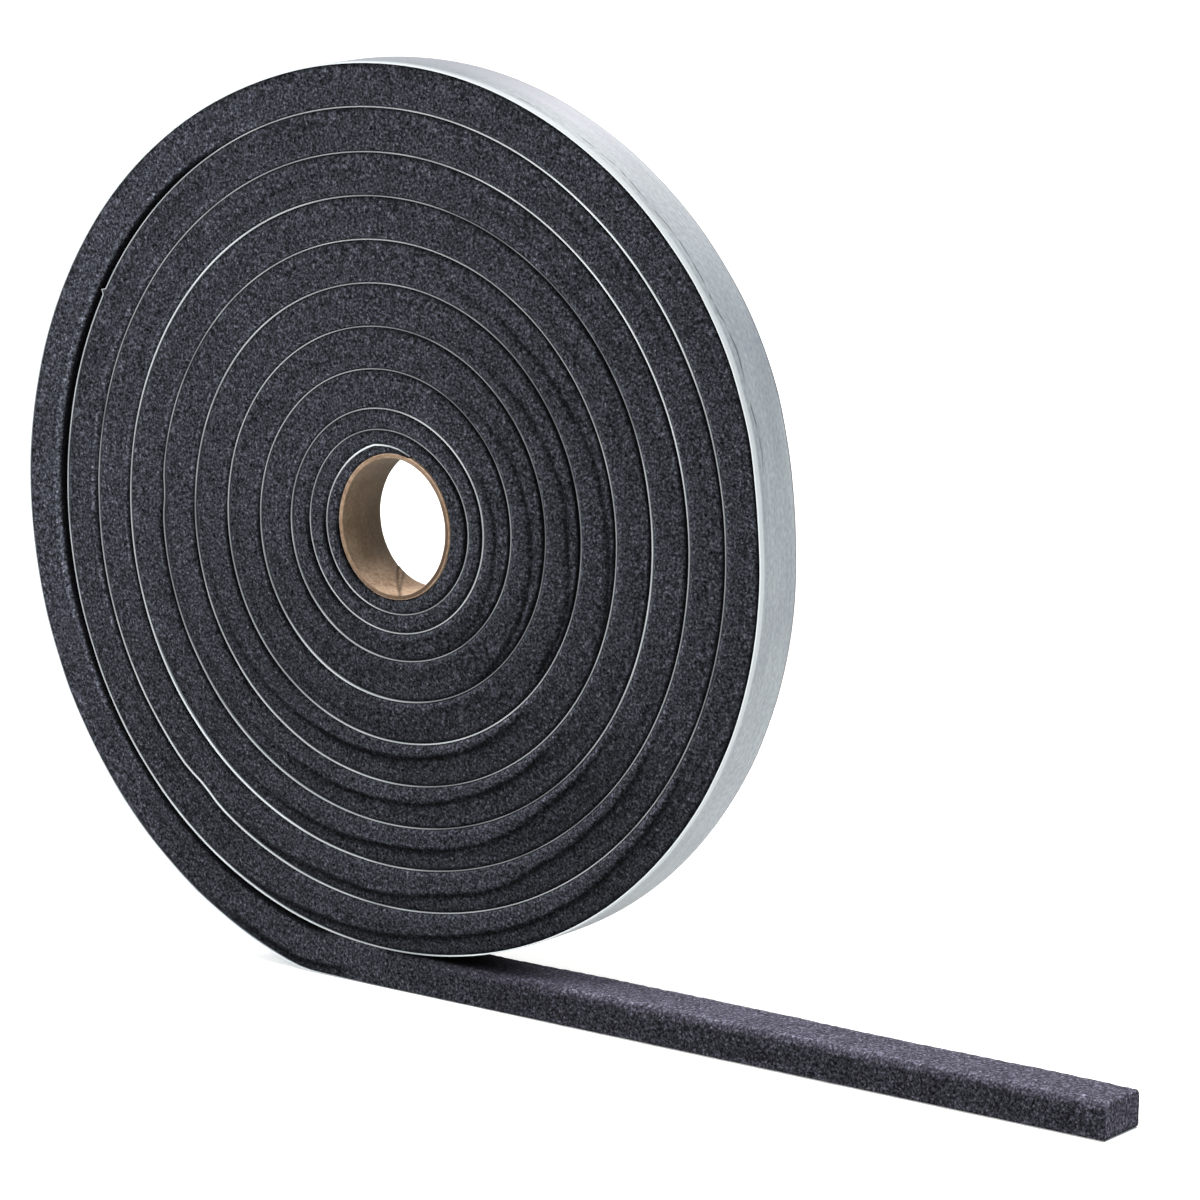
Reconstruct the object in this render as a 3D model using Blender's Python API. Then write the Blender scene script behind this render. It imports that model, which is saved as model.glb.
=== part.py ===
"""Foam weatherstrip tape: a standing roll on a cardboard core with its loose end lying along the floor.

+X runs along the loose end, +Z is up and Y is the roll's axis, with the seen face at -Y.
The loose end's backing paper rests on the floor, z = 0, and the origin is the middle of the whole length.
"""
import math

import bpy

# Driving sizes, in metres unless a name says otherwise
TAPE_WIDTH = 0.0120
FOAM_THICK = 0.00755
LINER_THICK = 0.0003
FIT_GAP = 0.0003
TURNS_WOUND = 10.555
TAIL_LENGTH = 0.1603
TAIL_THINNER = 0.00045
TAIL_SETTLE = 0.030
CORE_BORE_RADIUS = 0.01265
CORE_WALL = 0.0009
CORE_OVAL = 0.035
CORE_DRIFT_X = 0.00075
CORE_DRIFT_Z = -0.0006
GROOVE_DEPTH = 0.0009
GROOVE_REACH = 0.0006
STEPS_PER_TURN = 60

# The outermost turn comes loose by LOOSE_WRAP, growing over these parts of that turn
LOOSE_WRAP = 0.0021
LOOSE_FROM = 0.36
LOOSE_TO = 0.93
# The foam swells to take up this much slack, and only more than that opens a gap
SLACK_TAKEN_UP = 0.0004

# One turn adds the foam, its backing paper and the clearance between the two solids
TURN_PITCH = FOAM_THICK + FIT_GAP + LINER_THICK

# What the squeezed first turns keep of the pitch, as (turns wound so far, share kept)
SQUEEZE = ((0.0, 0.0), (0.1, 0.24), (0.8, 0.42), (1.6, 0.43), (2.1, 0.51), (2.6, 0.67), (3.1, 0.94), (4.2, 1.0))

# The groove takes at most this share of a thin turn at each of its sides
GROOVE_SHARE = 0.25
# Steps past the nip over which the roll's rim sinks to make room for the paper
RIM_RAMP_STEPS = 2

FOAM_COLOUR = (0.032, 0.031, 0.036, 1.0)
LINER_COLOUR = (0.60, 0.64, 0.66, 1.0)
CORE_COLOUR = (0.33, 0.19, 0.095, 1.0)


def make_material(name, colour, roughness):
    """One plain shaded material for a whole piece."""
    mat = bpy.data.materials.new(name)
    mat.use_nodes = True
    shader = mat.node_tree.nodes["Principled BSDF"]
    shader.inputs["Base Color"].default_value = colour
    shader.inputs["Roughness"].default_value = roughness
    shader.inputs["Metallic"].default_value = 0.0
    return mat


def add_piece(name, verts, faces, mat):
    """A named object from its vertices and faces, shaded smooth but for its sharp edges."""
    mesh = bpy.data.meshes.new(name)
    mesh.from_pydata(verts, [], faces)
    mesh.validate()
    mesh.materials.append(mat)
    obj = bpy.data.objects.new(name, mesh)
    bpy.context.scene.collection.objects.link(obj)
    mesh.shade_smooth()
    mesh.set_sharp_from_angle(angle=math.radians(30))
    return obj


def last_step():
    """The number of the winding step at which the loose end leaves the roll."""
    return round(TURNS_WOUND * STEPS_PER_TURN)


def nip_step():
    """The winding step where the loose end passes under the turn before it."""
    return last_step() - STEPS_PER_TURN


def step_angle(step):
    """The angle of a winding step, counted so that the last step is straight down."""
    return math.radians(270.0 + 360.0 * (step - last_step()) / STEPS_PER_TURN)


def squeeze_share(turn):
    """The share of the pitch that the tape keeps at this many turns from its inner end."""
    for (t0, s0), (t1, s1) in zip(SQUEEZE, SQUEEZE[1:]):
        if turn < t1:
            return s0 + (s1 - s0) * (turn - t0) / (t1 - t0)
    return SQUEEZE[-1][1]


def loosening(step):
    """How far the outermost turn has come away from its tight place by this step."""
    part_turn = (step - nip_step()) / STEPS_PER_TURN
    return LOOSE_WRAP * max(0.0, min(1.0, (part_turn - LOOSE_FROM) / (LOOSE_TO - LOOSE_FROM)))


def core_radius(angle):
    """The core's outer radius: it is pressed slightly narrower across and taller upright."""
    across = (CORE_BORE_RADIUS + CORE_WALL) * (1.0 - CORE_OVAL)
    upright = (CORE_BORE_RADIUS + CORE_WALL) * (1.0 + CORE_OVAL)
    return across * upright / math.hypot(upright * math.cos(angle), across * math.sin(angle))


def tight_lines():
    """Radius of the tape's outer side, paper and all, at each step of a roll wound tight to its end."""
    lines = []
    for step in range(last_step() + 1):
        if step < STEPS_PER_TURN:
            below = core_radius(step_angle(step)) + FIT_GAP
        else:
            below = lines[step - STEPS_PER_TURN]
        lines.append(below + TURN_PITCH * squeeze_share(step / STEPS_PER_TURN))
    return lines


def turn_lines():
    """The same radii with the outermost turn come loose, down to where the floor holds it."""
    tight = tight_lines()
    lines = list(tight)
    for step in range(nip_step(), last_step()):
        lines[step] += loosening(step)
        down = -math.sin(step_angle(step))
        if down > 0:
            lines[step] = min(lines[step], tight[-1] / down)
    return lines


def gap_under(step, lines, tight):
    """How wide the gap under the outermost turn stands open at a step. It is shut at the turn's two ends."""
    gap = lines[step] - tight[step] - SLACK_TAKEN_UP
    may_open = nip_step() < step < last_step() - 1
    return gap if may_open and gap > FIT_GAP / 2 else 0.0


def foam_line(lines, step):
    """Radius of the foam itself at a step: on the outermost turn it leaves room for the paper."""
    ramp = max(0.0, min(1.0, (step - nip_step()) / RIM_RAMP_STEPS))
    return lines[step] - (FIT_GAP + LINER_THICK) * ramp


def roll_reach(lines):
    """How far the roll reaches to the left of its axis."""
    return max(-lines[s] * math.cos(step_angle(s)) for s in range(nip_step(), last_step()))


def tail_end(lines):
    """The x of the loose end's cut face, for an origin midway along the whole length."""
    return (roll_reach(lines) + TAIL_LENGTH) / 2


def polar(radius, angle, lines):
    """The x and z of a point on the roll, whose core lies a little off the outermost turn's centre."""
    drift = 1.0 - radius / lines[-1]
    x = tail_end(lines) - TAIL_LENGTH + radius * math.cos(angle) + CORE_DRIFT_X * drift
    z = lines[-1] + radius * math.sin(angle) + CORE_DRIFT_Z * drift
    return x, z


class FoamMesh:
    """Collects the foam strip's vertices, in pairs for its two faces, and its polygons."""

    def __init__(self, lines):
        self.lines = lines
        self.verts = []
        self.faces = []

    def vertex(self, x, y, z):
        self.verts.append((x, y, z))
        return len(self.verts) - 1

    def pair(self, radius, angle, y):
        """The same point of the section on the front face and on the back face."""
        x, z = polar(radius, angle, self.lines)
        return self.vertex(x, -y, z), self.vertex(x, y, z)

    def face_strip(self, low, high, next_low, next_high):
        """One polygon between two steps on each face, which may close to a triangle."""
        for side in (0, 1):
            loop = list(dict.fromkeys((low[side], high[side], next_high[side], next_low[side])))
            self.faces.append(loop if side == 0 else loop[::-1])

    def outward(self, here, there):
        """One polygon across the tape's width that faces away from the roll's axis."""
        self.faces.append([here[1], there[1], there[0], here[0]])

    def inward(self, here, there):
        """One polygon across the tape's width that faces the roll's axis."""
        self.faces.append([here[0], there[0], there[1], here[1]])


def build_foam(lines, mat):
    """The wound foam strip: a spiral groove marks its turns on both faces, and its loose end lies flat."""
    tight = tight_lines()
    last = last_step()
    half = TAPE_WIDTH / 2
    groove_y = half - GROOVE_DEPTH
    foam = FoamMesh(lines)

    # The section at each step: inner edge, two crests on the face, outer edge
    inner = []
    crests = []
    outer = []
    for step in range(last + 1):
        angle = step_angle(step)
        if step < STEPS_PER_TURN:
            below = core_radius(angle) + FIT_GAP
            inner.append(foam.pair(below, angle, groove_y))
        else:
            gap = gap_under(step, lines, tight)
            below = lines[step - STEPS_PER_TURN] + gap
            inner.append(foam.pair(below, angle, groove_y) if gap else outer[step - STEPS_PER_TURN])
        above = foam_line(lines, step)
        reach = min(GROOVE_REACH, GROOVE_SHARE * (above - below))
        if step == 0:
            # The tape starts pinched to nothing at the core
            crests.append((inner[0], inner[0]))
            outer.append(inner[0])
        else:
            crests.append((foam.pair(below + reach, angle, half), foam.pair(above - reach, angle, half)))
            outer.append(foam.pair(above, angle, groove_y))

    for step in range(last):
        rows = [(inner[s], crests[s][0], crests[s][1], outer[s]) for s in (step, step + 1)]
        for i in range(3):
            foam.face_strip(rows[0][i], rows[0][i + 1], rows[1][i], rows[1][i + 1])

    # The hole's wall, which closes on the first turn's pinched start
    for step in range(STEPS_PER_TURN):
        foam.inward(inner[step], inner[(step + 1) % STEPS_PER_TURN])

    # The roll's rim, from where the loose end leaves it and once around
    for step in range(nip_step(), last):
        foam.outward(outer[step], outer[step + 1])

    # The gap under the loose outermost turn: the turn below and the loose turn's own inner side
    for step in range(nip_step(), last):
        below = (outer[step - STEPS_PER_TURN], outer[step + 1 - STEPS_PER_TURN])
        above = (inner[step], inner[step + 1])
        if above != below:
            foam.outward(*below)
            foam.inward(*above)

    add_tail(foam, inner[last], crests[last], outer[last])
    return add_piece("foam_strip", foam.verts, foam.faces, mat)


def add_tail(foam, inner, crest, outer):
    """The loose end: the last section carried along the floor, thinner once it is clear of the roll, and closed."""
    top = [inner[0], crest[0][0], crest[0][1], inner[1]]
    ring = [inner[0], crest[0][0], crest[1][0], outer[0], outer[1], crest[1][1], crest[0][1], inner[1]]
    end_x = tail_end(foam.lines)
    for x in (end_x - TAIL_LENGTH + TAIL_SETTLE, end_x):
        following = []
        for index in ring:
            y, z = foam.verts[index][1:]
            low = z - TAIL_THINNER if index in top else z
            following.append(foam.vertex(x, y, low))
        for i in range(len(ring)):
            j = (i + 1) % len(ring)
            foam.faces.append([ring[j], following[j], following[i], ring[i]])
        top = []
        ring = following
    foam.faces.append(ring)


def liner_start(lines):
    """The first step past the nip with room for the paper between the roll and the loose end."""
    step = nip_step() + RIM_RAMP_STEPS
    while polar(lines[step], step_angle(step), lines)[1] < TURN_PITCH + FIT_GAP:
        step += 1
    return step


def build_liner(lines, mat):
    """The backing paper seen on the outermost turn and under the loose end."""
    half = TAPE_WIDTH / 2
    path = []
    for step in range(liner_start(lines), last_step() + 1):
        inside = polar(lines[step] - LINER_THICK, step_angle(step), lines)
        outside = polar(lines[step], step_angle(step), lines)
        path.append((inside, outside))
    path.append(((tail_end(lines), LINER_THICK), (tail_end(lines), 0.0)))
    verts = []
    faces = []
    for inside, outside in path:
        verts += [(inside[0], -half, inside[1]), (outside[0], -half, outside[1])]
        verts += [(outside[0], half, outside[1]), (inside[0], half, inside[1])]
    for row in range(len(path) - 1):
        base = 4 * row
        for i in range(4):
            j = (i + 1) % 4
            faces.append([base + i, base + j, base + 4 + j, base + 4 + i])
    faces.append([3, 2, 1, 0])
    base = 4 * (len(path) - 1)
    faces.append([base, base + 1, base + 2, base + 3])
    return add_piece("release_liner", verts, faces, mat)


def build_core(lines, mat):
    """The cardboard tube in the middle of the roll."""
    half = TAPE_WIDTH / 2
    verts = []
    faces = []
    for step in range(STEPS_PER_TURN):
        angle = step_angle(step)
        radius = core_radius(angle)
        for r, y in ((radius, -half), (radius, half), (radius - CORE_WALL, half), (radius - CORE_WALL, -half)):
            x, z = polar(r, angle, lines)
            verts.append((x, y, z))
    for step in range(STEPS_PER_TURN):
        here = 4 * step
        there = 4 * ((step + 1) % STEPS_PER_TURN)
        for i in range(4):
            j = (i + 1) % 4
            faces.append([here + i, here + j, there + j, there + i])
    return add_piece("cardboard_core", verts, faces, mat)


def main():
    for obj in list(bpy.data.objects):
        bpy.data.objects.remove(obj)
    lines = turn_lines()
    build_foam(lines, make_material("foam", FOAM_COLOUR, 0.92))
    build_liner(lines, make_material("liner", LINER_COLOUR, 0.55))
    build_core(lines, make_material("core", CORE_COLOUR, 0.85))


main()
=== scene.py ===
import math
import bpy
import numpy as np
from mathutils import Matrix, Vector


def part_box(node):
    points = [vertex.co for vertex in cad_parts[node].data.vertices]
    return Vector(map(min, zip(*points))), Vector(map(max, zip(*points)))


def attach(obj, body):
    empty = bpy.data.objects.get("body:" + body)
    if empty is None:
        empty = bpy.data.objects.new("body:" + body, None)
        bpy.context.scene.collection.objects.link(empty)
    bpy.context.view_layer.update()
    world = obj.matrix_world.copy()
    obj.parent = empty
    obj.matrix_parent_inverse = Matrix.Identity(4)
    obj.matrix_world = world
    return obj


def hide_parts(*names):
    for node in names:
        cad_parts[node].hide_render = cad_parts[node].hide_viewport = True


# Foam weatherstrip tape: a standing roll of charcoal foam on a cardboard core, its loose end on the
# floor. Shapes are worked out in millimetres in the frame's own axes: x along the loose end, z up, seen
# face towards -y.

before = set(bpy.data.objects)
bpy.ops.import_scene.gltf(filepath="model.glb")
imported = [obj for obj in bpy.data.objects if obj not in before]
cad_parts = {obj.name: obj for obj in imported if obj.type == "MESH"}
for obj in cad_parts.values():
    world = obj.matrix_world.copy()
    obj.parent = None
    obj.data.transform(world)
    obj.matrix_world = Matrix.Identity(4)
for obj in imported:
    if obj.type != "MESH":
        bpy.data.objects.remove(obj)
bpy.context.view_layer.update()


def linearColour(hexText):
    # an sRGB hex value turned into the linear colour that a shader takes
    parts = [int(hexText[i:i + 2], 16) / 255 for i in (1, 3, 5)]
    return tuple(c / 12.92 if c <= 0.04045 else ((c + 0.055) / 1.055) ** 2.4 for c in parts) + (1.0,)


def addNode(tree, kind, settings={}, sockets={}):
    # one shader node with its own settings, or just the name of its operation; its sockets take a value,
    # another node's output, or the node itself for its first output
    node = tree.nodes.new("ShaderNode" + kind)
    if isinstance(settings, str):
        settings = {"operation": settings}
    for name, value in settings.items():
        if name == "stops":  # a colour ramp's stops, as (place, colour)
            ramp = node.color_ramp
            for i, (place, colour) in enumerate(value):
                stop = ramp.elements[i] if i < 2 else ramp.elements.new(place)
                stop.position = place
                stop.color = colour
        else:
            setattr(node, name, value)
    for name, value in sockets.items():
        if isinstance(value, bpy.types.Node):
            value = value.outputs[0]
        if isinstance(value, bpy.types.NodeSocket):
            tree.links.new(value, node.inputs[name])
        else:
            node.inputs[name].default_value = value
    return node


def startMaterial(name):
    # an empty node material with its shader, ready for its pattern
    material = bpy.data.materials.new(name)
    material.use_nodes = True
    tree = material.node_tree
    return material, tree, tree.nodes["Principled BSDF"]


def finishMaterial(tree, shader, colour, height, relief, roughness):
    # the shader takes its colour, a relief of this strength and depth in metres, and its roughness
    bump = addNode(tree, "Bump", {}, {"Height": height, "Strength": relief[0], "Distance": relief[1]})
    tree.links.new(colour, shader.inputs["Base Color"])
    tree.links.new(bump.outputs[0], shader.inputs["Normal"])
    shader.inputs["Roughness"].default_value = roughness


def smoothStep(x):
    # 0 below 0, 1 above 1, and an even S between
    x = np.clip(x, 0.0, 1.0)
    return x * x * (3.0 - 2.0 * x)


def rise(x, start, span):
    # 0 up to the start, 1 from one span past it, and the even S between
    return smoothStep((x - start) / span)


def fall(x, start, span):
    # the other way round, from 1 to 0
    return 1.0 - rise(x, start, span)


def bell(x, reach):
    # 1 at 0, falling away to both sides: e to the power of minus the square of x over the reach
    return np.exp(-(x / reach) ** 2)


def signedAngle(degrees):
    # the same angle between -180 and 180
    return np.mod(degrees + 180.0, 360.0) - 180.0


def joined(*parts):
    # lists or arrays end to end
    return np.concatenate(parts)


def softNoise(x, seed):
    # value noise on a line: fixed heights from -1 to 1 at the whole numbers, joined by even steps
    heights = np.random.RandomState(seed).uniform(-1.0, 1.0, 1024)
    cell = np.floor(x).astype(int)
    part = smoothStep(x - cell)
    return heights[cell % 1024] * (1.0 - part) + heights[(cell + 1) % 1024] * part


def softNoiseField(x, y, seed):
    # value noise on a plane: the same, in both directions
    heights = np.random.RandomState(seed).uniform(-1.0, 1.0, (1024, 128))
    cellX, cellY = np.floor(x).astype(int), np.floor(y).astype(int)
    partX, partY = smoothStep(x - cellX), smoothStep(y - cellY)
    here, there = cellX % 1024, (cellX + 1) % 1024
    low, high = cellY % 128, (cellY + 1) % 128
    first = heights[here, low] * (1.0 - partX) + heights[there, low] * partX
    second = heights[here, high] * (1.0 - partX) + heights[there, high] * partX
    return first * (1.0 - partY) + second * partY


def ringQuads(rings, points, start=0):
    # the quads between neighbouring closed rings of a grid, numbered from start
    ring, point = np.meshgrid(np.arange(rings - 1), np.arange(points), indexing="ij")
    following = (point + 1) % points
    quads = np.stack([ring * points + point, ring * points + following,
                      (ring + 1) * points + following, (ring + 1) * points + point], axis=-1)
    return quads.reshape(-1, 4) + start


def addObject(name, data):
    # an object of this data, in the scene
    made = bpy.data.objects.new(name, data)
    bpy.context.scene.collection.objects.link(made)
    return made


def makePiece(name, places, faces, material, nodes, marks={}, layout=None):
    # one mesh object in metres from millimetre places, faces outward, riding on the only body
    mesh = bpy.data.meshes.new(name)
    mesh.from_pydata((places / 1000.0).tolist(), [], faces)
    mesh.update()
    for markName, values in marks.items():
        mark = mesh.attributes.new(markName, "FLOAT", "POINT")
        mark.data.foreach_set("value", values.astype(np.float32))
    if layout is not None:  # a flat layout of the surface, one (along, across) for each vertex
        corners = np.empty(len(mesh.loops), dtype=np.int32)
        mesh.loops.foreach_get("vertex_index", corners)
        flat = layout[corners].astype(np.float32).ravel()
        mesh.uv_layers.new(name="layout").data.foreach_set("uv", flat)
    mesh.materials.append(material)
    mesh.shade_smooth()
    piece = addObject(name, mesh)
    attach(piece, "root")
    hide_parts(*nodes)
    print(name, "made with", len(mesh.vertices), "vertices and", len(mesh.polygons), "faces")
    return piece


# The winding, which the foam, the paper and the core share

winding = {
    "turns": 10.55,  # turns wound, from the pinched inner end to where the tape leaves the roll
    "firstTurn": 0.012,  # the pinched end starts this little past 0
    "pitch": 8.15,  # what one turn adds: foam, paper and clearance
    "clearance": 0.3,
    "axisHeight": 90.96,  # the outermost turn's centre above the floor
    "tailLength": 160.3,
    "coreRadius": 13.55,  # the cardboard tube, outside
    "coreOval": 0.035,  # pressed narrower across and taller upright
    "coreDrift": (0.75, -0.6),  # the core lies off the outermost turn's centre
    "ovalGone": 0.3,  # turns after which the windings are round again
    "evening": 0.09,  # turns over which the step of the inner end evens out
    "rightBulge": 0.45,  # the turns stand out a little towards the loose end
    "squeezeTurns": (0.0, 0.1, 0.8, 1.6, 2.1, 2.6, 3.1, 4.2),
    "squeezeShares": (0.0, 0.24, 0.42, 0.43, 0.51, 0.67, 0.94, 1.0),
    # the outermost turn by angle: its radius where it lies loose, until the floor holds it
    "looseAngles": (-90.0, -45.0, -10.0, 8.0, 20.0, 32.0, 48.0, 66.0,
                    95.0, 112.0, 128.0, 148.0, 196.0, 243.0, 290.0),
    "looseRadii": (83.2, 84.5, 84.7, 84.6, 86.0, 86.9, 87.1, 87.2,
                   87.5, 87.9, 88.8, 89.75, 90.95, 92.9, 93.9),
    "outerLift": 0.4,  # the last wound turns lie this much looser, from here
    "outerLiftFrom": 8.8,
    # how far the hand-wound turns stand off round, every 30 degrees from the right, near three numbers
    # of turns
    "offRoundTurns": (1.0, 4.5, 8.5),
    "offRound": ((-0.2, -0.2, -0.15, -0.1, 0.2, 0.55, 0.8, 0.65, 0.5, 0.4, 0.25, -0.05),
                 (-0.15, 0.05, 0.45, -0.1, -0.5, -0.1, 0.2, 0.55, 0.55, 0.35, 0.5, 0.4),
                 (-0.1, 0.8, 0.95, 0.1, -0.4, -0.15, 0.1, 0.6, 0.9, 0.6, 1.0, 0.8)),
    "dents": ((9.31, 0.7, 0.10), (8.443, 0.55, 0.008), (6.303, 0.45, 0.008)),  # turn, depth, reach
    "gapFrom": 10.06,  # the gap under the outermost turn opens from here
    "slack": 0.1,  # the foam swells to fill this much of it
    "gapKept": 0.8,  # the share of it that stays open, less towards the floor
    "gapLost": 0.46,
    "floorBend": 0.3,  # softness of the bend where the loose turn meets the floor
}
tableSteps = 720
axisHeight = winding["axisHeight"]
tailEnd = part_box("release_liner")[1].x * 1000.0
axisX = tailEnd - winding["tailLength"]


def angleOf(turn):
    # degrees at a number of turns: the tape leaves the roll straight down, at 270
    return 270.0 + 360.0 * (turn - winding["turns"])


def coreOutside(degrees):
    # an ellipse's radius from its two half axes
    across = winding["coreRadius"] * (1.0 - winding["coreOval"])
    upright = winding["coreRadius"] * (1.0 + winding["coreOval"])
    a = np.radians(degrees)
    return across * upright / np.hypot(upright * np.cos(a), across * np.sin(a))


def evened(values, reach):
    # running mean over this many table steps to each side, with the ends held
    padded = joined(np.full(reach, values[0]), values, np.full(reach, values[-1]))
    sums = joined([0.0], np.cumsum(padded))
    return (sums[2 * reach + 1:] - sums[:-2 * reach - 1]) / (2 * reach + 1)


def windingTable():
    # a turn's outer radius is the core's plus what every turn under it keeps of the pitch (running sums
    # down the columns), evened out and without the core's oval further out, plus how far it stands off
    # round, less its dents; the outermost turn follows its own loose radii
    w = winding
    part = np.arange(tableSteps) / tableSteps
    turn = np.arange(12)[:, None] + part[None, :]
    kept = np.cumsum(np.interp(turn, w["squeezeTurns"], w["squeezeShares"]), axis=0)
    wound = w["coreRadius"] + w["clearance"] + w["pitch"] * kept
    turn, wound = turn.ravel(), wound.ravel()
    calm = evened(wound - w["pitch"] * turn, int(w["evening"] * tableSteps)) + w["pitch"] * turn
    far = rise(turn, 0.3, 0.7)
    degrees = angleOf(turn)
    oval = (coreOutside(degrees) - w["coreRadius"]) * fall(turn, 0.0, w["ovalGone"])
    bulge = w["rightBulge"] * bell(signedAngle(degrees), 50.0) * smoothStep(turn / 0.6)
    lift = w["outerLift"] * rise(turn, w["outerLiftFrom"], 0.5)
    tight = wound * (1.0 - far) + calm * far + oval + bulge + lift
    around = np.mod(degrees, 360.0)
    listed = np.arange(0.0, 361.0, 30.0)
    rows = [np.interp(around, listed, row + row[:1]) for row in w["offRound"]]
    low, middle, high = w["offRoundTurns"]
    upper = np.clip((turn - middle) / (high - middle), 0, 1)
    lower = np.clip((middle - turn) / (middle - low), 0, 1)
    offRound = evened(rows[0] * lower + rows[1] * (1.0 - upper - lower) + rows[2] * upper, 30)
    tight = tight + offRound * smoothStep(turn)
    for place, depth, reach in w["dents"]:
        tight = tight - depth * bell(turn - place, reach)
    loose = evened(np.interp(degrees, w["looseAngles"], w["looseRadii"]), 12)
    outermost = rise(turn - w["turns"], -1.04, 0.08)
    return turn, tight * (1.0 - outermost) + loose * outermost


turnTable, radiusTable = windingTable()


def turnLine(turn):
    # outer radius of the tape, paper and all, softly held back where the floor stops it
    free = np.interp(turn, turnTable, radiusTable)
    down = np.maximum(-np.sin(np.radians(angleOf(turn))), 0.3)
    soft = winding["floorBend"]
    held = -soft * np.logaddexp(-free / soft, -axisHeight / down / soft)
    return np.where(turn > winding["turns"] - 0.5, held, free)


def looseGap(turn):
    # the open gap under the outermost turn: what its radius leaves over the turn below and the swollen
    # foam
    w = winding
    opened = turnLine(turn) - turnLine(np.maximum(turn - 1.0, 0.0)) - w["pitch"] - w["slack"]
    kept = w["gapKept"] - w["gapLost"] * rise(turn, 10.30, 0.15)
    return np.maximum(opened, 0.0) * kept * rise(turn, w["gapFrom"], 0.08)


def turnSteps(perTurn):
    # numbers of turns along the roll, closer together as the turns get wider: a power of an even share
    first = winding["firstTurn"]
    share = np.linspace(0.0, 1.0, int(perTurn * winding["turns"]))
    return first + (winding["turns"] - first) * share ** 0.8


def rollPlace(radius, degrees):
    # x and z on the roll: a circle's point, drifted with the core the nearer it is to the middle
    drift = 1.0 - radius / axisHeight
    a = np.radians(degrees)
    return np.stack([axisX + radius * np.cos(a) + winding["coreDrift"][0] * drift,
                     axisHeight + radius * np.sin(a) + winding["coreDrift"][1] * drift], axis=-1)


cameraSetting = {
    "azimuth": 35.535,
    "elevation": 11.687,
    "roll": 0.952,
    "place": (0.61971, -0.85414, 0.29844),
    "lens": 172.97,
    "sensor": 36.0,
}


def makeCamera():
    # it looks back along the direction of its azimuth and elevation, then rolls about that line
    azimuth, elevation, roll = (math.radians(cameraSetting[k]) for k in ("azimuth", "elevation", "roll"))
    turned = Matrix.Rotation(azimuth, 4, "Z") @ Matrix.Rotation(math.pi / 2 - elevation, 4, "X")
    data = bpy.data.cameras.new("studioCamera")
    data.lens = cameraSetting["lens"]
    data.sensor_width = cameraSetting["sensor"]
    data.clip_start, data.clip_end = 0.01, 20.0
    camera = addObject("studioCamera", data)
    camera.matrix_world = (Matrix.Translation(cameraSetting["place"]) @ turned
                           @ Matrix.Rotation(roll, 4, "Z"))
    bpy.context.scene.camera = camera


makeCamera()
print("camera set")


paperSetting = {
    "stepsPerTurn": 150,
    "tailSteps": 120,
    "half": 5.50,  # half the width that shows between turns
    "halfVaries": 0.10,
    "halfOpen": 5.98,  # on the outermost turn
    "backShort": 0.16,  # there it stops this far short of the unseen edge
    "halfUnder": 5.6,  # under the loose end
    "thick": 0.23,
    "thickShown": 0.12,  # added where its edge stands proud and catches the light
    "thickUnder": 0.12,
    "lift": 0.34,  # it stands off the foam where the tape bends towards the floor
    "curl": 0.14,  # its front strip follows the foam's rounded corner
    "curlFrom": 4.6,
    # stretches where its edge stands clean and proud, as numbers of turns, and how much
    "shownAt": (0.12, 1.74, 1.88, 1.99, 3.50, 4.62, 5.2, 6.78, 7.18,
                7.42, 7.93, 8.42, 8.93, 9.25, 9.48, 9.76, 9.98),
    "shownBy": (0.9, 0.4, 0.5, 0.5, 0.4, 0.35, 0.4, 0.6, 0.7,
                0.5, 0.7, 0.4, 0.8, 0.1, 0.2, 0.4, 0.6),
    "shownWide": 0.09,  # reach of one such stretch, in turns
    "shownAngle": 238.0,  # it also shows all along the lower left
    "shownReach": 30.0,
    "proudBy": 0.3,
    "nickTurn": 9.2236,  # a torn tab sticks into the open gap here
    "nickTall": 0.8,
    "creaseAt": 3.4,  # a crease in the rim, this far before the middle of its width
    # how dark the crease is painted with shade
    "creaseDark": 0.85,
    # between the turns: the painted shade that greys a sunken edge, and how it varies slowly and quickly
    "edgeShade": 0.74,
    "edgeShadeVaries": (0.20, 0.12),
    "backEdge": 0.75,  # the rim's far edge reads as a thin darker line
    "underEdge": 0.85,  # and under the loose end both edges are painted grey with shade
    "lilac": 0.55,  # a painted lilac reflection, strongest at this angle, seen on the rim behind the crease
    "lilacAngle": 76.0,
    # patterns by their repeats in a metre, along and across, and their detail: streaks about 0.5 mm wide
    # and 40 mm long, fibres, clouds, how the crease wanders, and where it breaks off
    "patterns": (((25.0, 2000.0, 1.0), 3.0), ((900.0, 1700.0, 1.0), 4.0), ((60.0, 160.0, 1.0), 2.0),
                 ((95.0, 0.0, 1.0), 3.0), ((180.0, 200.0, 1.0), 2.0)),
    "paperHex": "#969da2",
    "paperHexStreak": "#7c838a",
    "paperHexFront": "#c0c6c9",
    "paperHexLilac": "#a19faa",
    "frontWide": 1.15,  # the strip of painted light along the rim's front edge
    "paperHexEdge": "#ccd2d5",
    "paperHexShade": "#3a3c42",
}


def edgeShown(turn):
    # how much the paper's edge shows between the turns: the listed stretches and the lower left
    s = paperSetting
    near = bell(turn[:, None] - np.array(s["shownAt"]), s["shownWide"])
    listed = (near * np.array(s["shownBy"])).sum(axis=1)
    away = signedAngle(angleOf(turn) - s["shownAngle"])
    lowerLeft = (0.35 + 0.20 * rise(turn, 4.0, 3.0)) * bell(away, s["shownReach"])
    return np.clip(listed + lowerLeft, 0.0, 1.0)


def paperThick(turn):
    # thinner where it lies pressed on the floor
    s = paperSetting
    wound = s["thick"] + s["thickShown"] * edgeShown(turn)
    return wound + (s["thickUnder"] - wound) * rise(turn - winding["turns"], -0.06, 0.06)


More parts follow.
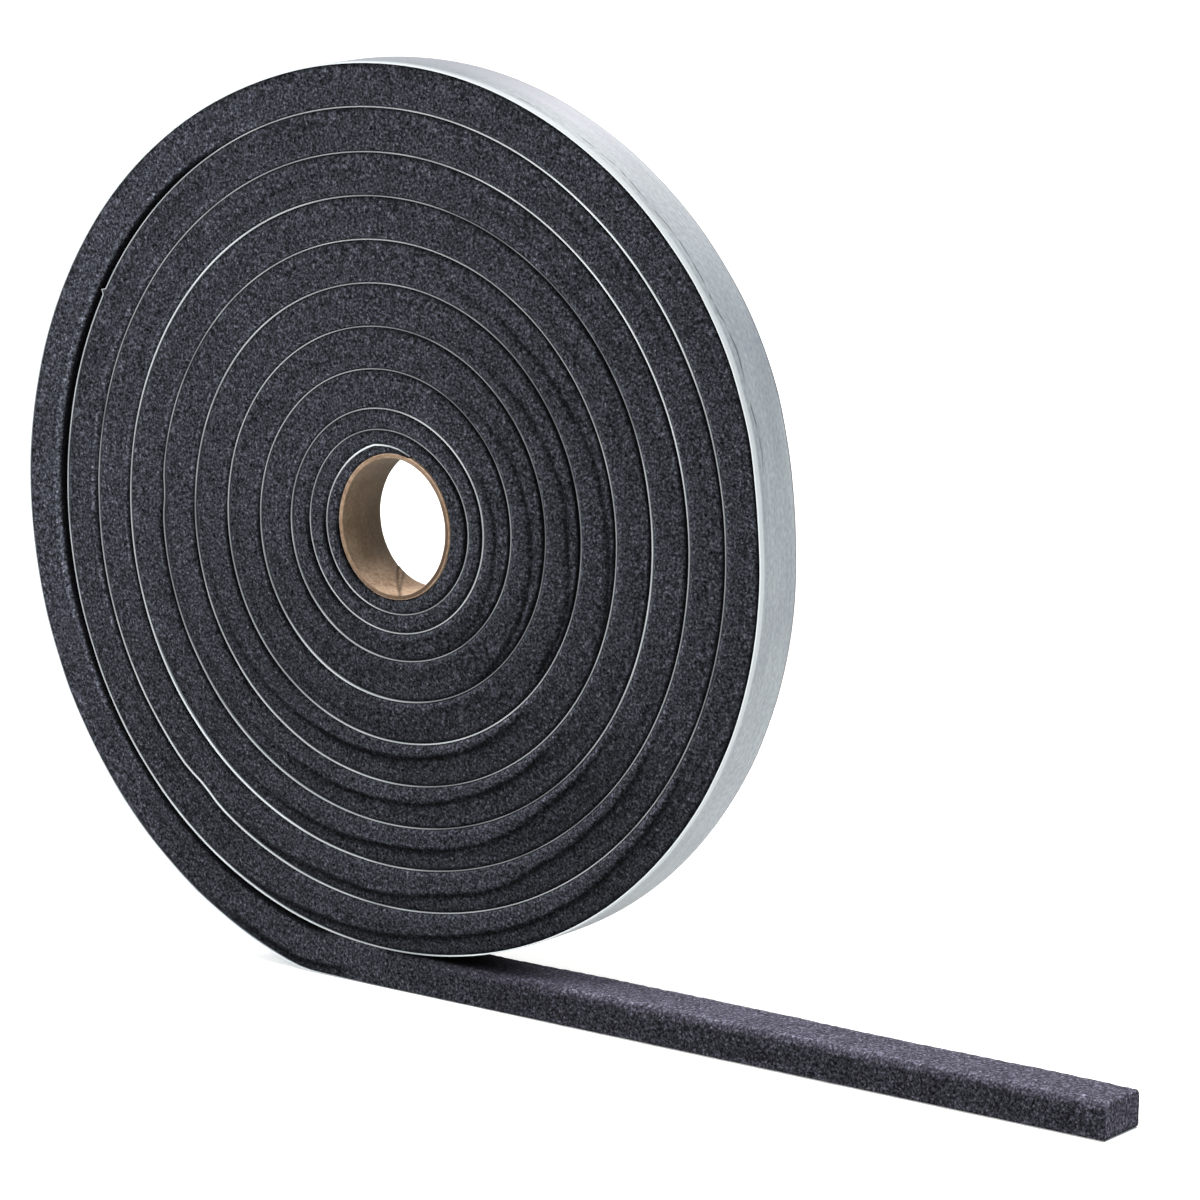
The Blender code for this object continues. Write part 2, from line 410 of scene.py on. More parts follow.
def paperRoom(turn):
    # the foam stops this far under the turn's outer line: the paper, a hair of air, the paper's lift
    lifted = rise(turn, 10.38, 0.06) * fall(turn, 10.48, 0.05)
    return paperThick(turn) + 0.03 + paperSetting["lift"] * lifted


foamSetting = {
    "stepsPerTurn": 142,
    "tailStep": 0.6,
    "half": 5.95,  # half the tape's width at its crests
    "hair": 0.02,  # air between the foam and the paper below it
    "cornerInner": 0.70,
    "cornerOuter": 0.62,
    "cornerOpen": 1.0,  # inner corner where nothing presses on it
    "cornerTail": 1.35,
    "cornerDeep": 1.7,  # the pressed corners are this much deeper than wide
    "neck": 0.20,  # the stretched outer part of a turn draws in by this much
    "neckVaries": 0.10,
    "lensAngle": 174.0,  # lens-shaped inner facets on the left, centred here
    "lensReach": 66.0,
    "lensWide": 0.22,  # widest, as a share of the thickness
    "lensWider": 0.10,  # added on the outermost turn
    "lensDeep": 0.62,
    # one crease crosses each turn from its outer to its inner line, between these angles at these
    # numbers of turns
    "creaseTurns": (5.8, 6.6, 7.6, 8.6),
    "creaseFrom": (160.0, 172.0, 210.0, 238.0),
    "creaseUntil": (332.0, 336.0, 340.0, 344.0),
    "crease": 0.34,
    "creaseStep": 0.22,
    # the inner turns fold a second time on the right, from these angles on at these numbers of turns
    "midTurns": (2.4, 3.0, 3.8, 4.8, 5.8, 6.8),
    "midFrom": (-92.0, -75.0, -56.0, -43.0, -30.0, -15.0),
    "midSpan": 130.0,
    "wrinkle": 0.14,
    # painted light and shade that follow the forms: how much paler or darker each makes the foam
    "lensPale": 0.8,
    "lensPaleOuter": 0.45,  # added on the outermost turn, and the next on the whole of its facet
    "outerPale": 0.16,
    "lensFoldDark": 0.35,
    "creaseLipPale": 0.28,
    "creaseDark": 0.62,
    "creaseOutsideDark": 0.30,
    "creaseInsidePale": 0.20,
    "valleyDark": 0.85,
    "shadeBelow": 0.23,  # painted shade on the lower turns, and a little on the right
    "shadeRight": 0.11,
    "wallDark": 0.97,  # painted shade on the walls in a cleft
    "cleftDark": 0.96,  # its painted shade over the pressed corners, whose distance and fade are in mm
    "cleftIn": (0.38, 0.48),
    "cleftOut": (0.42, 0.25),
    "cleftLeft": (208.0, 37.0),  # painted shade on the inner corner round this angle, this far to each side
    "sheen": 0.9,  # pale sheen beside the paper on the right
    "backTurned": 75.0,  # the unseen side has the same relief, turned this far
    "tailThinner": 0.25,
    "tailVaries": 0.12,
    "tailDroop": 0.10,  # over its last 20 mm
    "tailWider": 0.22,  # no longer stretched, the loose end is this much wider each side
    # the loose end: paler overall, with painted shade on its faces, painted light on its top and top
    # edge, and painted shade near the roll
    "tailPaler": 0.12,
    "tailFaceDark": 0.28,
    "tailTopPale": 0.15,
    "tailEdgePale": 0.75,
    "tailNipDark": 0.15,
    "tailSettle": 30.0,
    "endRound": 0.35,
    "rollRagged": 0.02,  # torn cells on the roll and along the loose end
    "tailRagged": 0.07,
    "foamTones": ((0.0, "#020203"), (0.25, "#0f1012"), (0.5, "#27292e"),
                  (0.75, "#484a53"), (1.0, "#7c7e8a")),
    "foamHexHoleAndShade": "#020203",
    "foamHexSpeck": "#83868f",
    "foamHexDustAndSheen": "#2b2830",
    "foamHexLoose": "#fff7fc",  # multiplies the loose end's colour, which is a little more purple
    "openGain": 1.25,  # the tape's open side is drawn this much paler: partly its dusty skin, partly a painted sheen
    "grain": 0.50,  # torn cell walls in mm, drawn a little coarser than the real 0.3 to show
    "cell": 0.62,
    "pore": 1.5,
    "patch": 9.0,
    # the share of pores, or cells, that stay plain, then from which distance to which a mark fades, in
    # sizes of its own cell, and its strength
    "holes": (0.6, 0.12, 0.24, 0.9),
    "specks": (0.985, 0.05, 0.42, 0.6),
}


def foamMaterial():
    # charcoal polyurethane foam, cut with a knife: open cells that read as fine black and grey grain,
    # sparse black holes and a few glinting cell walls, with no gloss
    s = foamSetting
    material, tree, shader = startMaterial("openCellPolyurethaneFoam")
    place = addNode(tree, "TexCoord").outputs["Object"]
    grain = addNode(tree, "TexNoise", {}, {"Vector": place, "Scale": 1000.0 / s["grain"],
                                           "Detail": 2.0, "Roughness": 0.75})
    patches = addNode(tree, "TexNoise", {},
                      {"Vector": place, "Scale": 1000.0 / s["patch"], "Detail": 3.0})
    cells, pores = (addNode(tree, "TexVoronoi", {"feature": "F1"},
                            {"Vector": place, "Scale": 1000.0 / s[size], "Randomness": 1.0})
                    for size in ("cell", "pore"))
    cellChoice, poreChoice = (addNode(tree, "SeparateColor", {}, {0: source.outputs["Color"]})
                              for source in (cells, pores))
    # grain first, a little of each cell's own tone, and slow patches of more and less open foam
    tone = grain
    for source, weight in ((cellChoice, 0.10), (patches, 0.06)):
        tone = addNode(tree, "Math", "MULTIPLY_ADD", {0: source, 1: weight, 2: tone})
    spread = addNode(tree, "MapRange", {}, {"Value": tone, "From Min": 0.27, "From Max": 0.89})
    colour = addNode(tree, "ValToRGB",
                     {"stops": [(stop, linearColour(hexText)) for stop, hexText in s["foamTones"]]},
                     {0: spread})
    # a burst cell here and there leaves a black hole, and single cell walls catch the light
    marks = []
    for source, choice, size in ((pores, poreChoice, "holes"), (cells, cellChoice.outputs[1], "specks")):
        plain, near, far, most = s[size]
        kept = addNode(tree, "Math", "GREATER_THAN", {0: choice, 1: plain})
        inside = addNode(tree, "MapRange", {},
                         {"Value": source.outputs["Distance"], "From Min": near, "From Max": far,
                          "To Min": most, "To Max": 0.0})
        marks.append(addNode(tree, "Math", "MULTIPLY", {0: inside, 1: kept}))
    for factor, hexName in zip(marks, ("foamHexHoleAndShade", "foamHexSpeck")):
        colour = addNode(tree, "Mix", {"data_type": "RGBA"},
                         {0: factor, 6: colour, 7: linearColour(s[hexName])}).outputs[2]
    # painted light and shade: stretched facets are painted paler and creases darker, the side that
    # nothing presses on is paler, partly from dust and partly a painted sheen, and clefts are painted
    # black as shade
    paintedLightAndShade, openPaleAndSheen, loose, paintedCleftShade = (addNode(tree, "Attribute", {"attribute_name": name}).outputs["Fac"]
                                 for name in ("paintedLightAndShade", "openSide", "looseEnd", "paintedCleftShade"))
    gain = addNode(tree, "Math", "ADD", {0: paintedLightAndShade, 1: 1.0})
    gain = addNode(tree, "Math", "MULTIPLY_ADD", {0: openPaleAndSheen, 1: s["openGain"], 2: gain})
    colour = addNode(tree, "VectorMath", "SCALE", {0: colour, "Scale": gain})
    for factor, blend, hexName in ((openPaleAndSheen, "ADD", "foamHexDustAndSheen"), (loose, "MULTIPLY", "foamHexLoose"),
                                   (paintedCleftShade, "MIX", "foamHexHoleAndShade")):
        colour = addNode(tree, "Mix", {"data_type": "RGBA", "blend_type": blend},
                         {0: factor, 6: colour, 7: linearColour(s[hexName])}).outputs[2]
    # relief: the grain, the cells as shallow cups, and the holes
    height = grain
    for source, weight in ((cells.outputs["Distance"], 0.5), (marks[0], -0.8)):
        height = addNode(tree, "Math", "MULTIPLY_ADD", {0: source, 1: weight, 2: height})
    finishMaterial(tree, shader, colour, height, (0.55, 0.0003), 0.95)
    shader.inputs["Specular IOR Level"].default_value = 0.04
    return material


def sectionRing(corner, front, outer, back, inner):
    # a rounded rectangle once round, from the inner front corner: share across the thickness, share of
    # the half width, and the direction of the corner's arc (across, wide) at each point
    def arc(across, wide, fromDegrees):
        a = np.radians(fromDegrees + 90.0 * np.arange(corner) / corner)
        return across, wide, -np.cos(a), -np.sin(a)

    front, outer, back, inner = (np.arange(count) / count for count in (front, outer, back, inner))
    parts = (arc(0.0, -1.0, 0.0), (front, -1.0, 0.0, -1.0),
             arc(1.0, -1.0, 90.0), (1.0, -1.0 + 2.0 * outer, 1.0, 0.0),
             arc(1.0, 1.0, 180.0), (1.0 - back, 1.0, 0.0, 1.0),
             arc(0.0, 1.0, 270.0), (0.0, 1.0 - 2.0 * inner, -1.0, 0.0))
    return tuple(joined(*values) for values in zip(*(np.broadcast_arrays(*part) for part in parts)))


def faceRelief(share, along, degrees, side):
    # how far a cut face stands proud of its plane. The outer part of each bent turn draws in. On the
    # left an inner facet, lens shaped, falls towards the turn below. One crease crosses each turn on the
    # lower right, with the foam outside it lower, and a second crosses the inner turns. Fainter wrinkles
    # and the knife's unevenness run everywhere.
    s = foamSetting
    turned = degrees - s["backTurned"] * side
    turn = (degrees - 270.0) / 360.0 + winding["turns"]
    wound = rise(turn, 1.3, 1.2) * fall(turn - winding["turns"], -0.03, 0.03)
    neckDepth = s["neck"] + s["neckVaries"] * softNoise(along / 31.0, 11 + side)
    neck = -neckDepth * rise(share, 0.35, 0.6) * (0.3 + 0.7 * wound)

    away = signedAngle(turned - s["lensAngle"] + 10.0 * softNoise(turn * 0.8, 13 + side))
    lens = np.clip(1.0 - (away / s["lensReach"]) ** 2, 0.0, 1.0)
    outermost = rise(turn - winding["turns"], -1.0, 0.06)
    varied = 0.85 + 0.25 * softNoise(turn * 1.1, 15 + side) + 0.06 * softNoise(along / 7.0, 17 + side)
    lensEdge = (s["lensWide"] + s["lensWider"] * outermost) * lens ** 0.6 * varied
    withinLens = share / np.maximum(lensEdge, 0.03)
    sunk = -s["lensDeep"] * np.sqrt(lens) * np.clip(1.0 - withinLens, 0.0, 1.0) * wound

    creaseFrom = np.interp(turn, s["creaseTurns"], s["creaseFrom"])
    creaseSpan = np.interp(turn, s["creaseTurns"], s["creaseUntil"]) - creaseFrom
    crossing = np.mod(turned - creaseFrom, 360.0) / creaseSpan
    creaseAt = 0.97 - 0.92 * crossing + 0.05 * softNoise(along / 13.0, 31 + side)
    seen = smoothStep(crossing / 0.1) * fall(crossing, 0.8, 0.2) * wound
    second = np.mod(turned - np.interp(turn, s["midTurns"], s["midFrom"]), 360.0) / s["midSpan"]
    secondAt = 0.97 - 0.86 * second + 0.05 * softNoise(along / 11.0, 35 + side)
    fewTurns = rise(turn, s["midTurns"][0], 0.5) * fall(turn, s["midTurns"][-2], 1.0)
    secondSeen = smoothStep(second / 0.1) * fall(second, 0.6, 0.4) * fewTurns
    valley = 0.8 * secondSeen * bell(share - secondAt, 0.075)
    crease = -s["crease"] * (seen * bell(share - creaseAt, 0.055) + valley)
    step = -s["creaseStep"] * seen * rise(share, creaseAt, 0.09)

    # the painted light and shade go with the form: a facet is painted paler up to its edge, where a thin
    # dark fold of painted shade ends it, and a crease is a valley of painted shade with a pale lip on its
    # inner side and darker foam outside it
    lensTone = (s["lensPale"] + s["lensPaleOuter"] * outermost) * wound * lens ** 0.35 * (
        rise(withinLens, 0.1, 0.6) * fall(withinLens, 0.88, 0.16)
        - s["lensFoldDark"] * bell(withinLens - 1.12, 0.09))
    fromCrease = share - creaseAt
    strength = 0.25 + 0.75 * rise(creaseFrom + crossing * creaseSpan, 228.0, 30.0)
    strength = strength * (0.15 + 0.85 * rise(turn, 4.4, 1.4))
    fading = np.exp(-np.maximum(fromCrease, 0.0) / 0.25)
    creaseTone = seen * strength * (
        s["creaseLipPale"] * bell(fromCrease + 0.09, 0.05) - s["creaseDark"] * bell(fromCrease, 0.08)
        - s["creaseOutsideDark"] * smoothStep(fromCrease / 0.05) * fading
        + s["creaseInsidePale"] * smoothStep(-fromCrease / 0.1))
    # painted shade on the lower turns and a little on the right, and painted light on the outermost
    # turn's facet
    lowShade = (s["shadeBelow"] * rise(-np.sin(np.radians(degrees)), 0.1, 0.8)
               + s["shadeRight"] * rise(np.cos(np.radians(degrees)), 0.2, 0.6)) * wound
    tone = (lensTone + creaseTone - s["valleyDark"] * valley - lowShade
            + s["outerPale"] * outermost * wound * rise(lens, 0.05, 0.3))

    faint = s["wrinkle"] * np.clip(softNoise(along / 38.0, 21 + side) + 0.25, 0.0, 1.0) * wound
    faintAt = 0.55 + 0.28 * softNoise(along / 55.0, 23 + side)
    wrinkle = -faint * bell(share - faintAt, 0.07)
    uneven = (0.05 * softNoiseField(along / 5.0, share * 3.1 + 9.0, 41 + side)
              + 0.03 * softNoiseField(along / 2.2, share * 6.0 + 5.0, 51 + side))
    # painted shade along the faint wrinkles
    tone = tone - 2.2 * faint * bell(share - faintAt, 0.06)
    return neck + sunk + crease + step + wrinkle + uneven, np.clip(tone, -0.85, 1.2)


def carrySection(ring, inside, outside, cornerIn, cornerOut, deep, half, along, degrees, ragged):
    # each section lies between the inside and outside places of its step; corners are arcs round the
    # inset corner, faces stand proud by their relief, and torn cells shift every point a little where
    # ragged is above 0
    across, wide, normalU, normalY = (part[None, :] for part in ring)
    span = outside - inside
    thick = np.hypot(span[:, 0], span[:, 1])[:, None]
    direction = span / thick
    corner = cornerIn[:, None] * (1.0 - across) + cornerOut[:, None] * across
    between = thick - cornerIn[:, None] - cornerOut[:, None]
    depth = cornerIn[:, None] + across * between + corner * normalU
    y = wide * (half[:, None] - corner * deep[:, None]) + corner * deep[:, None] * normalY
    share = depth / thick
    steps = along[:, None] + 0.0 * across
    turned = degrees[:, None] + 0.0 * across
    front, frontTone = faceRelief(share, steps, turned, 0)
    back, backTone = faceRelief(share, steps, turned, 1)
    front, back = front * np.maximum(-normalY, 0.0), back * np.maximum(normalY, 0.0)
    tone = frontTone * (normalY < -0.4) + backTone * (normalY > 0.4)
    calm = np.clip(thick / 4.0, 0.0, 1.0)
    torn = ragged[:, None] * (softNoiseField(steps / 0.8, depth / 0.7 + y / 0.8 + 40.0, 61)
                              + 0.7 * softNoiseField(steps / 1.7, depth / 1.5 + y / 1.9 + 40.0, 71))
    y = y - front * calm + back * calm + torn * normalY
    depth = depth + torn * normalU
    places = np.empty(depth.shape + (3,))
    places[..., 0] = inside[:, None, 0] + direction[:, None, 0] * depth
    places[..., 1] = y
    places[..., 2] = inside[:, None, 1] + direction[:, None, 1] * depth
    return places, tone, depth, thick - depth


def makeFoam():
    # the tape's section carried along the winding, then along the floor with a finer section, and closed
    # at both ends
    s = foamSetting
    rollRing = sectionRing(3, 18, 1, 9, 4)
    tailRing = sectionRing(3, 18, 4, 18, 28)
    turns = winding["turns"]

    # the wound part
    turn = turnSteps(s["stepsPerTurn"])[:-1]
    turnBelow = turnLine(np.maximum(turn - 1.0, 0.0)) + s["hair"]
    below = np.where(turn < 1.0, coreOutside(angleOf(turn)) + 0.08, turnBelow)
    gap = looseGap(turn)
    inner = below + gap
    outer = np.maximum(turnLine(turn) - paperRoom(turn), inner + 0.08)
    inside, outside = rollPlace(inner, angleOf(turn)), rollPlace(outer, angleOf(turn))
    thick = outer - inner
    middle = (inside + outside) / 2
    along = joined([0.0], np.cumsum(np.hypot(*np.diff(middle, axis=0).T)))
    opened = smoothStep(gap / 0.4)
    exposed = rise(turn - turns, -1.0, 0.05)
    cornerIn = np.minimum(s["cornerInner"] * (1.0 - opened) + s["cornerOpen"] * opened, 0.22 * thick)
    cornerOut = np.minimum(s["cornerOuter"] * (1.0 - 0.25 * exposed), 0.20 * thick)
    rounded = np.maximum(opened, rise(turn - turns, -0.1, 0.1))
    deep = s["cornerDeep"] + (1.0 - s["cornerDeep"]) * rounded
    roll, rollTone, fromInner, fromOuter = carrySection(
        rollRing, inside, outside, cornerIn, cornerOut, deep, np.full(len(turn), s["half"]), along,
        angleOf(turn), np.full(len(turn), s["rollRagged"]))

    # the loose end
    steps = int(winding["tailLength"] / s["tailStep"])
    run = np.linspace(0.0, winding["tailLength"] - s["endRound"], steps)
    bend = np.radians(np.array([15.0, 35.0, 55.0, 75.0, 90.0]))
    run = joined(run, winding["tailLength"] - s["endRound"] * (1.0 - np.sin(bend)))
    shrink = joined(np.zeros(steps), s["endRound"] * (1.0 - np.cos(bend)))
    top = (axisHeight - turnLine(turns - 1.0) - s["hair"]
           - s["tailThinner"] * smoothStep(run / s["tailSettle"])
           + s["tailVaries"] * softNoise(run / 21.0, 81) * smoothStep(run / 25.0)
           - s["tailDroop"] * rise(run, 140.0, 20.0))
    insideTail = np.stack([axisX + run, top - shrink], axis=-1)
    outsideTail = np.stack([axisX + run, paperRoom(np.array([turns])) + shrink], axis=-1)
    freed = rise(run, -4.0, 16.0)
    cornerTop = s["cornerInner"] * (1.0 - freed) + s["cornerTail"] * freed
    halfTail = s["half"] + s["tailWider"] * rise(run, 8.0, 50.0) - shrink
    tail = carrySection(
        tailRing, insideTail, outsideTail, cornerTop, np.full(len(run), 0.3), np.full(len(run), 1.0),
        halfTail, along[-1] + run, np.full(len(run), 270.0), s["tailRagged"] * smoothStep(run / 12.0))[0]

    rollCount, tailCount = len(turn), len(run)
    rollPoints, tailPoints = len(rollRing[0]), len(tailRing[0])
    tailStart = rollCount * rollPoints
    faces = ringQuads(rollCount, rollPoints).tolist()
    faces += ringQuads(tailCount, tailPoints, tailStart).tolist()

    # where the finer section starts, each side of the coarse one meets all the points that lie on it
    counts, finer = (3, 18, 3, 1, 3, 9, 3, 4), (1, 1, 1, 4, 1, 2, 1, 7)
    meets = joined([0], np.cumsum(np.repeat(finer, counts)))
    lastRing = tailStart - rollPoints
    for i in range(rollPoints):
        sweep = [tailStart + int(k) % tailPoints for k in range(meets[i], meets[i + 1] + 1)]
        faces.append([lastRing + i, lastRing + (i + 1) % rollPoints] + sweep[::-1])

    # the pinched start is one small face, and the cut end closes in shrinking rings about its middle
    faces.append(list(range(rollPoints))[::-1])
    rim = tail[-1]
    centre = rim.mean(axis=0)
    shares = np.array([0.93, 0.8, 0.62, 0.42, 0.2])
    cap = centre + (rim - centre)[None, :, :] * shares[:, None, None]
    cap[..., 0] += 0.10 * softNoiseField(cap[..., 1] / 0.9 + 40.0, cap[..., 2] / 0.9 + 7.0, 91) - 0.05
    capStart = tailStart + tailCount * tailPoints
    faces += ringQuads(len(shares) + 1, tailPoints, capStart - tailPoints).tolist()
    middlePoint = capStart + len(shares) * tailPoints
    innermost = middlePoint - tailPoints
    faces += [[innermost + i, innermost + (i + 1) % tailPoints, middlePoint] for i in range(tailPoints)]

    places = np.concatenate([part.reshape(-1, 3) for part in (roll, tail, cap, centre)])
    capPoints = len(shares) * tailPoints + 1
    # on the loose end the open side's paler look, partly dust and partly a painted sheen, reaches a
    # little way down the faces, which are painted darkest at half height as shade, and the edge between
    # them has a painted highlight where it catches the light
    nearTop = 0.20 * fall(tailRing[0], 0.01, 0.12) * (np.abs(tailRing[3]) > 0.1)
    topward = np.maximum(-tailRing[2], 0.0)
    paleTail = smoothStep(run / 20.0)[:, None] * np.maximum(topward, nearTop)[None, :]
    faceTone = (-s["tailFaceDark"] * rise(tailRing[0], -0.02, 0.12)
                * (1.0 - 0.8 * rise(tailRing[0], 0.74, 0.24)) * np.abs(tailRing[3]))
    edgeTone = ((s["tailTopPale"] + s["tailEdgePale"] * bell(np.abs(tailRing[1]) - 1.0, 0.13))
                * rise(-tailRing[2], 0.5, 0.4))
    openSide = joined(np.zeros(tailStart), paleTail.ravel(), np.full(capPoints, 0.3))
    # a cleft is painted black as shade between the turns, and its painted shade reaches a little way over
    # the pressed corners: over the inner corner on the left and over the outer corner on the right, where
    # the paper's edge shades it
    around = angleOf(turn)[:, None]
    darkAngle, darkReach = s["cleftLeft"]
    fromLeft = signedAngle(around - darkAngle)
    shadeIn = np.maximum(np.clip(1.25 * bell(fromLeft, darkReach), 0.0, 1.0), opened[:, None])
    shadeOut = (0.5 + 0.5 * np.cos(np.radians(around - 12.0))) ** 1.3
    shadeOut = shadeOut * (1.0 - 0.7 * rise(turn - turns, -0.12, 0.1)[:, None])
    (reachIn, fadeIn), (reachOut, fadeOut) = s["cleftIn"], s["cleftOut"]
    pastOuter = fromOuter - reachOut - 0.2 * exposed[:, None]
    cleftIn = s["cleftDark"] * shadeIn * bell(np.maximum(fromInner - reachIn, 0.0), fadeIn)
    cleftOut = s["cleftDark"] * shadeOut * bell(np.maximum(pastOuter, 0.0), fadeOut)
    # on the right one looks down behind the paper's edge, and the foam there takes a pale sheen off the
    # paper
    onRight = (0.5 + 0.5 * np.cos(np.radians(around + 15.0))) ** 2
    besidePaper = s["sheen"] * bell(fromInner, 0.9) * onRight * rise(turn, 1.2, 0.8)[:, None]
    isWall = np.abs(rollRing[2])[None, :] > 0.99
    isWall = isWall & ((rollRing[2][None, :] < 0.0) | (exposed[:, None] < 0.5))
    cleftRoll = np.where(isWall, s["wallDark"], np.maximum(cleftIn, cleftOut))
    # the loose end's top is painted dark near the nip, where the roll shades it
    nearNip = s["wallDark"] * fall(run, 14.0, 36.0)[:, None] * topward[None, :]
    paintedCleftShade = joined(cleftRoll.ravel(), nearNip.ravel(), np.zeros(capPoints))
    # the loose end is paler; its faces carry painted shade, its top and top edge painted light, and the
    # stretch near the roll painted shade
    tailTone = ((s["tailPaler"] + faceTone + edgeTone)[None, :] * smoothStep(run / 60.0)[:, None]
                - s["tailNipDark"] * fall(run, 0.0, 90.0)[:, None])
    # painted light and shade for the whole foam: the roll's, its sheen beside the paper, the loose end's
    # and the cut end's
    paintedLightAndShade = joined((rollTone + besidePaper).ravel(), tailTone.ravel(),
                   np.full(capPoints, 3.5 * s["tailPaler"]))
    looseEnd = joined(np.zeros(tailStart), np.repeat(smoothStep(run / 30.0), tailPoints),
                      np.ones(capPoints))
    piece = makePiece("foamStrip", places, faces, foamMaterial(), ["foam_strip"],
                      {"openSide": openSide, "paintedCleftShade": paintedCleftShade, "paintedLightAndShade": paintedLightAndShade, "looseEnd": looseEnd})


makeFoam()


def paperMaterial():
    # silicone-coated release paper: smooth, pale blue-grey, faintly streaked along its length, with
    # paler cut edges
    s = paperSetting
    material, tree, shader = startMaterial("siliconeCoatedReleasePaper")
    layout = addNode(tree, "UVMap", {"uv_map": "layout"}).outputs[0]
    patterns = []
    for repeats, detail in s["patterns"]:
        stretched = addNode(tree, "Mapping", {}, {"Vector": layout, "Scale": repeats})
        patterns.append(addNode(tree, "TexNoise", {},
                                {"Vector": stretched, "Scale": 1.0, "Detail": detail}))
    streaks, fibres, clouds, wander, breaks = patterns
    tone = 0.1
    for source, weight in ((streaks, 0.5), (fibres, 1.1), (clouds, 0.6)):
        tone = addNode(tree, "Math", "MULTIPLY_ADD", {0: source, 1: weight, 2: tone})
    share = addNode(tree, "MapRange", {}, {"Value": tone, "From Min": 1.0, "From Max": 1.42})
    # painted light: the rim's front strip is paler, up to an edge that wanders a little
    acrossRim = addNode(tree, "SeparateXYZ", {}, {0: layout}).outputs[1]
    strip = addNode(tree, "Math", "MULTIPLY_ADD", {0: wander, 1: -0.0007, 2: acrossRim})
    frontEdge = (s["frontWide"] - s["halfOpen"]) / 1000.0
    front = addNode(tree, "MapRange", {"interpolation_type": "SMOOTHSTEP"},
                    {"Value": strip, "From Min": frontEdge - 0.0007, "From Max": frontEdge,
                     "To Min": 0.72, "To Max": 0.0})
    # on the upper right a thin crease, painted dark with shade, parts it from the rest, wandering and
    # broken
    wandered = addNode(tree, "Math", "MULTIPLY_ADD", {0: wander, 1: -0.0036, 2: acrossRim})
    fromCrease = addNode(tree, "Math", "ADD",
                         {0: wandered, 1: 0.0018 + s["creaseAt"] / 1000.0})
    creaseAway = addNode(tree, "Math", "ABSOLUTE", {0: fromCrease})
    creaseNear = addNode(tree, "MapRange", {}, {"Value": creaseAway, "From Min": 0.00005,
                                                "From Max": 0.00032, "To Min": 1.0, "To Max": 0.0})
    broken = addNode(tree, "MapRange", {}, {"Value": breaks, "From Min": 0.44, "From Max": 0.56})
    creased, lilac, edge, edgeShade = (addNode(tree, "Attribute", {"attribute_name": name}).outputs["Fac"]
                                  for name in ("creased", "lilac", "cutEdge", "edgeShadeMark"))
    creaseHere = addNode(tree, "Math", "MULTIPLY", {0: broken, 1: creased})
    crease = addNode(tree, "Math", "MULTIPLY", {0: creaseNear, 1: creaseHere})
    creaseTone = addNode(tree, "Math", "MULTIPLY", {0: crease, 1: s["creaseDark"]})
    # behind the crease the rim takes a painted lilac reflection, the crease is painted with shade, and
    # painted shade greys the edges that stand between the turns, here more and there less
    colour = linearColour(s["paperHexStreak"])
    for factor, hexName in ((share, "paperHex"), (front, "paperHexFront"), (lilac, "paperHexLilac"),
                            (creaseTone, "paperHexShade"), (edge, "paperHexEdge"), (edgeShade, "paperHexShade")):
        colour = addNode(tree, "Mix", {"data_type": "RGBA"},
                         {0: factor, 6: colour, 7: linearColour(s[hexName])}).outputs[2]
    height = addNode(tree, "Math", "MULTIPLY_ADD", {0: crease, 1: -1.5, 2: tone})
    finishMaterial(tree, shader, colour, height, (0.35, 0.0001), 0.42)
    shader.inputs["Specular IOR Level"].default_value = 0.4
    return material


